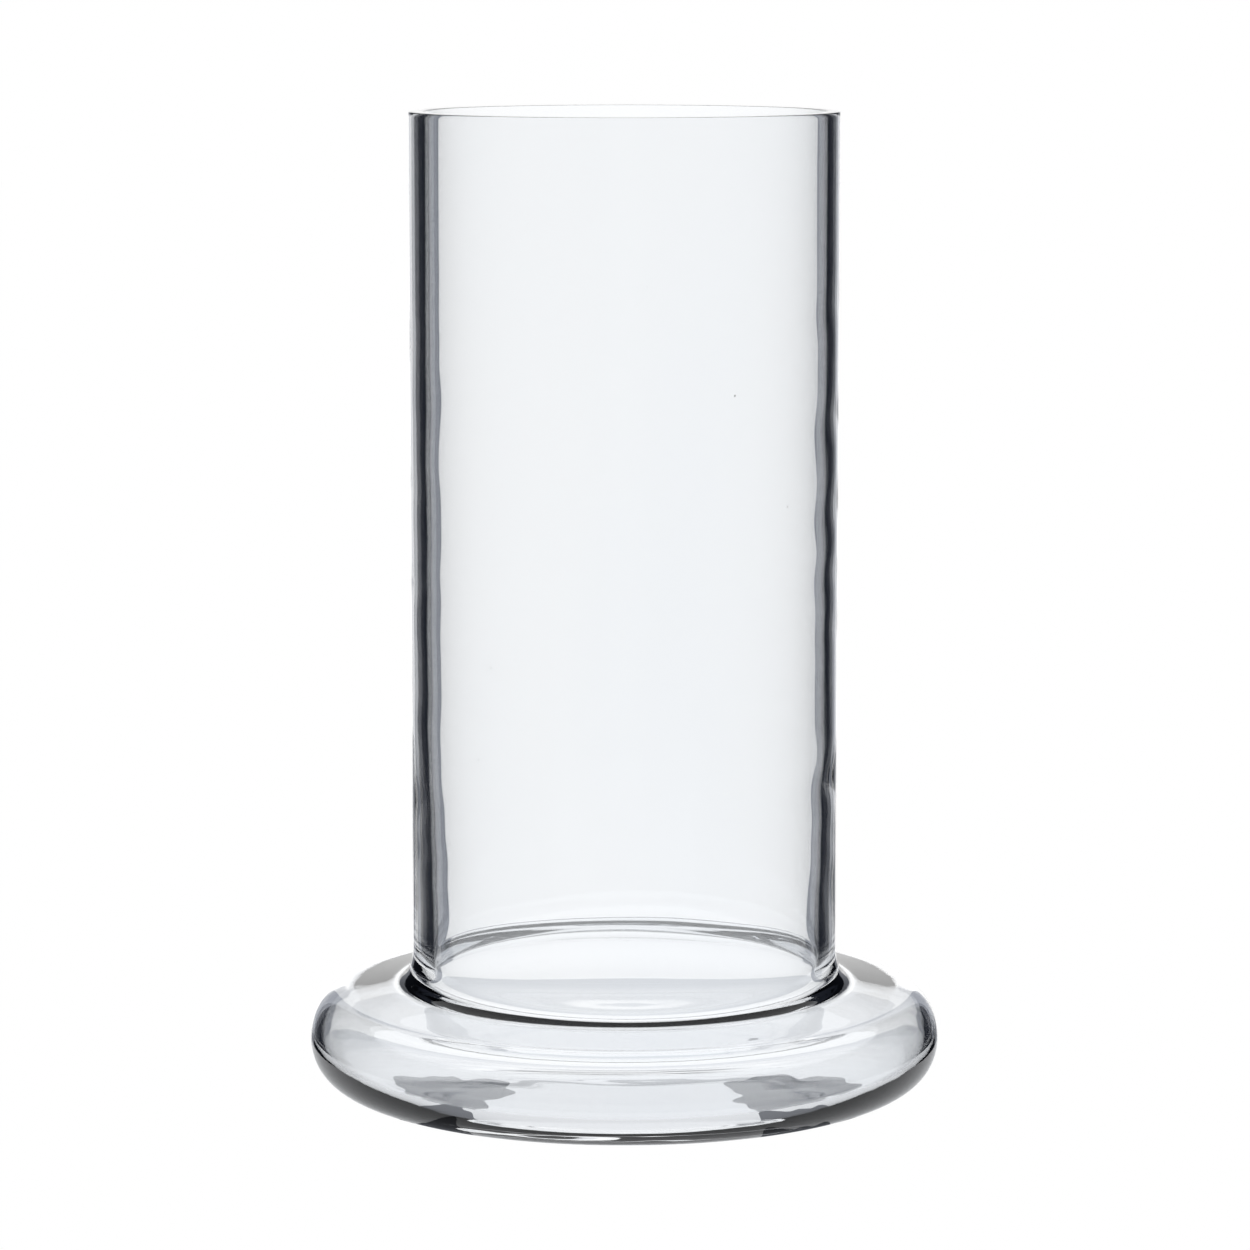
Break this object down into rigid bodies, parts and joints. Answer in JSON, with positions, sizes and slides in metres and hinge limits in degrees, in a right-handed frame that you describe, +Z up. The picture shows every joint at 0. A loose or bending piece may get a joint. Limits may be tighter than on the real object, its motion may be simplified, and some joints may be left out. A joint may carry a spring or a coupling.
{
  "type": "glass cylinder vase",
  "caption": "Tall clear glass cylinder vase with a flat cut rim and a hollow blown ring foot, for cut stems and branches in water.",
  "frame": {"origin": "middle of the circle that the vase stands on, at table height", "axes": "+Z up along the vase's axis, from the foot to the open rim; X and Y are level and interchangeable, as the vase is turned about +Z"},
  "size_m": [0.1948, 0.1948, 0.3],
  "materials": {
    "clear_glass": "clear, colourless, fire-polished, with a cut and polished rim"
  },
  "bodies": {
    "root": {"cylinder_wall": "clear_glass", "foot_shoulder": "clear_glass", "foot_bowl": "clear_glass", "vase_floor": "clear_glass"}
  },
  "joints": []
}
